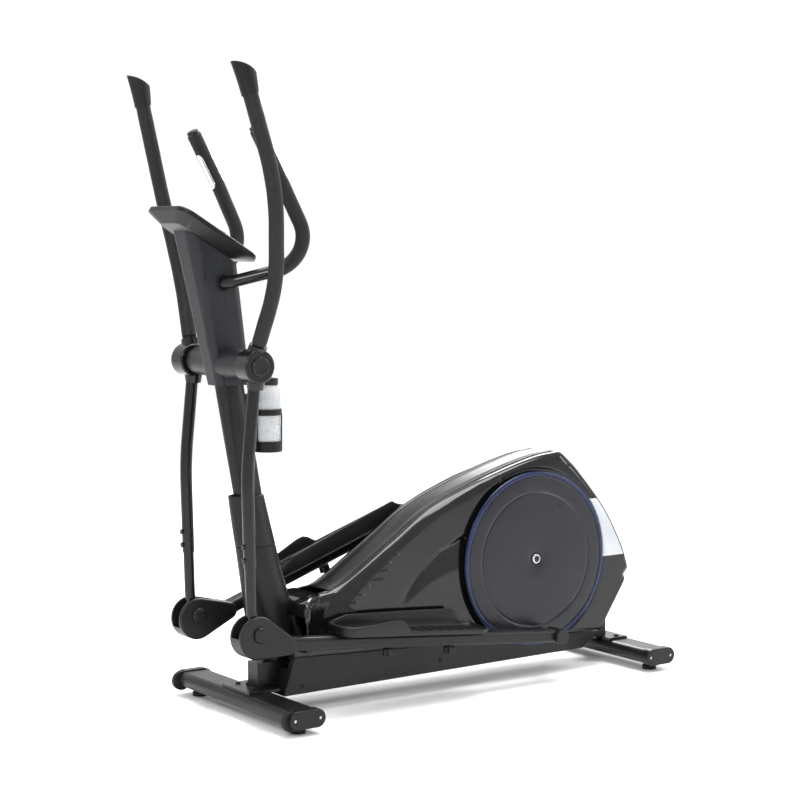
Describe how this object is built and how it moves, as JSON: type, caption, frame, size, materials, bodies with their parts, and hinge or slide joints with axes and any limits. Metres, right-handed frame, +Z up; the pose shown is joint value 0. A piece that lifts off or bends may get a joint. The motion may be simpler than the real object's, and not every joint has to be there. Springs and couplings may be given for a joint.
{
  "type": "elliptical trainer",
  "caption": "Rear-drive elliptical trainer: disc crank, foot trays on long pedal arms, swinging handlebars, fixed bars and a tilted console on a raked mast.",
  "frame": {"origin": "on the floor, under the centre of the whole machine's bounding box", "axes": "+X towards the rear (drive disc end), +Y towards the user's right, +Z up; the user faces -X"},
  "size_m": [1.5236, 0.6184, 1.6689],
  "materials": {
    "frame_paint": "satin",
    "arm_paint": "gloss",
    "base_paint": "satin",
    "steel": "brushed",
    "chrome": "polished",
    "cast_iron": "machined",
    "alloy_pulley": "satin",
    "shroud_plastic": "satin",
    "dark_plastic": "fine texture",
    "gloss_shell": "gloss",
    "hub_shell": "gloss",
    "silver_panel": "satin",
    "disc_plastic": "satin",
    "navy_ring": "gloss",
    "pedal_plastic": "fine texture",
    "foam": "foam",
    "soft_rubber": "matte",
    "belt_rubber": "matte",
    "screen_glass": "gloss",
    "key_grey": "satin",
    "bottle_plastic": "translucent"
  },
  "bodies": {
    "frame": {"main_frame": "frame_paint", "drive_brackets": "frame_paint", "bearings": "steel", "front_stabiliser": "base_paint", "rear_stabiliser": "base_paint", "stabiliser_caps": "dark_plastic", "cap_screws": "steel", "levelling_feet": "soft_rubber", "mast_tube": "frame_paint", "mast_boot": "dark_plastic", "shroud_front": "shroud_plastic", "shroud_rear": "shroud_plastic", "pivot_shaft": "steel", "fixed_handlebar": "arm_paint", "bar_grips": "foam", "pulse_plates": "chrome", "console_back": "dark_plastic", "console_bezel": "dark_plastic", "console_screen": "screen_glass", "bottle_cage": "dark_plastic", "side_shell_left": "gloss_shell", "side_shell_right": "gloss_shell", "ridge_strip": "dark_plastic", "rear_panels": "silver_panel", "lower_covers": "dark_plastic", "drive_belt": "belt_rubber"},
    "crank": {"crank_set": "steel", "crank_discs": "disc_plastic", "disc_rings": "navy_ring", "drive_pulley": "alloy_pulley"},
    "flywheel": {"flywheel": "cast_iron"},
    "idler": {"idler_wheel": "steel"},
    "brake": {"brake_bracket": "steel"},
    "dial": {"jog_dial": "key_grey"},
    "start_button": {"key_start": "key_grey"},
    "stop_button": {"key_stop": "key_grey"},
    "bottle": {"bottle": "bottle_plastic", "bottle_cap": "dark_plastic"},
    "wheel_left": {"transport_wheel_left": "soft_rubber"},
    "wheel_right": {"transport_wheel_right": "soft_rubber"},
    "swing_left": {"upper_arm_left": "arm_paint", "arm_grip_left": "foam", "arm_end_cap_left": "dark_plastic", "hub_left": "hub_shell", "lower_arm_left": "arm_paint"},
    "pedal_left": {"pedal_arm_left": "frame_paint", "pedal_shoe_left": "pedal_plastic", "pedal_tray_left": "pedal_plastic", "pedal_hardware_left": "frame_paint"},
    "swing_right": {"upper_arm_right": "arm_paint", "arm_grip_right": "foam", "arm_end_cap_right": "dark_plastic", "hub_right": "hub_shell", "lower_arm_right": "arm_paint"},
    "pedal_right": {"pedal_arm_right": "frame_paint", "pedal_shoe_right": "pedal_plastic", "pedal_tray_right": "pedal_plastic", "pedal_hardware_right": "frame_paint"}
  },
  "joints": [
    {"name": "crank_spin", "type": "hinge", "parent": "frame", "child": "crank", "pos_m": [0.359, 0, 0.34], "axis": [0, 1, 0], "continuous": true},
    {"name": "flywheel_spin", "type": "hinge", "parent": "frame", "child": "flywheel", "pos_m": [-0.063, 0, 0.268], "axis": [0, 1, 0], "continuous": true},
    {"name": "idler_spin", "type": "hinge", "parent": "frame", "child": "idler", "pos_m": [0.05184, 0, 0.20734], "axis": [0, 1, 0], "continuous": true},
    {"name": "brake_swing", "type": "hinge", "parent": "frame", "child": "brake", "pos_m": [-0.215, 0, 0.228], "axis": [0, 1, 0], "range_deg": [-3, 2]},
    {"name": "dial_turn", "type": "hinge", "parent": "frame", "child": "dial", "pos_m": [-0.61328, 0, 1.23944], "axis": [0.515, 0, 0.8572], "continuous": true},
    {"name": "start_press", "type": "slide", "parent": "frame", "child": "start_button", "axis": [0.515, 0, 0.8572], "range_m": [-0.0015, 0], "stiffness_N_per_m": 300, "springref_m": 0.001},
    {"name": "stop_press", "type": "slide", "parent": "frame", "child": "stop_button", "axis": [0.515, 0, 0.8572], "range_m": [-0.0015, 0], "stiffness_N_per_m": 300, "springref_m": 0.001},
    {"name": "bottle_lift", "type": "slide", "parent": "frame", "child": "bottle", "axis": [0, 0, 1], "range_m": [0, 0.2]},
    {"name": "wheel_spin_left", "type": "hinge", "parent": "frame", "child": "wheel_left", "pos_m": [-0.571, 0, 0.04], "axis": [0, 1, 0], "continuous": true},
    {"name": "wheel_spin_right", "type": "hinge", "parent": "frame", "child": "wheel_right", "pos_m": [-0.571, 0, 0.04], "axis": [0, 1, 0], "continuous": true},
    {"name": "swing_left", "type": "hinge", "parent": "frame", "child": "swing_left", "pos_m": [-0.6, 0, 0.925], "axis": [0, 1, 0], "range_deg": [-16, 16]},
    {"name": "swing_right", "type": "hinge", "parent": "frame", "child": "swing_right", "pos_m": [-0.6, 0, 0.925], "axis": [0, 1, 0], "range_deg": [-16, 16]},
    {"name": "pedal_left", "type": "hinge", "parent": "swing_left", "child": "pedal_left", "pos_m": [-0.6, 0, 0.246], "axis": [0, 1, 0], "range_deg": [-16, 16]},
    {"name": "pedal_right", "type": "hinge", "parent": "swing_right", "child": "pedal_right", "pos_m": [-0.6, 0, 0.246], "axis": [0, 1, 0], "range_deg": [-16, 16]}
  ],
  "couplings": [
    {"joint": "flywheel_spin", "follows": "crank_spin", "ratio": 7.1215},
    {"joint": "idler_spin", "follows": "crank_spin", "ratio": -7.5686},
    {"joint": "swing_right", "follows": "swing_left", "ratio": -1},
    {"joint": "pedal_left", "follows": "swing_left", "ratio": -1},
    {"joint": "pedal_right", "follows": "swing_left", "ratio": 1}
  ]
}
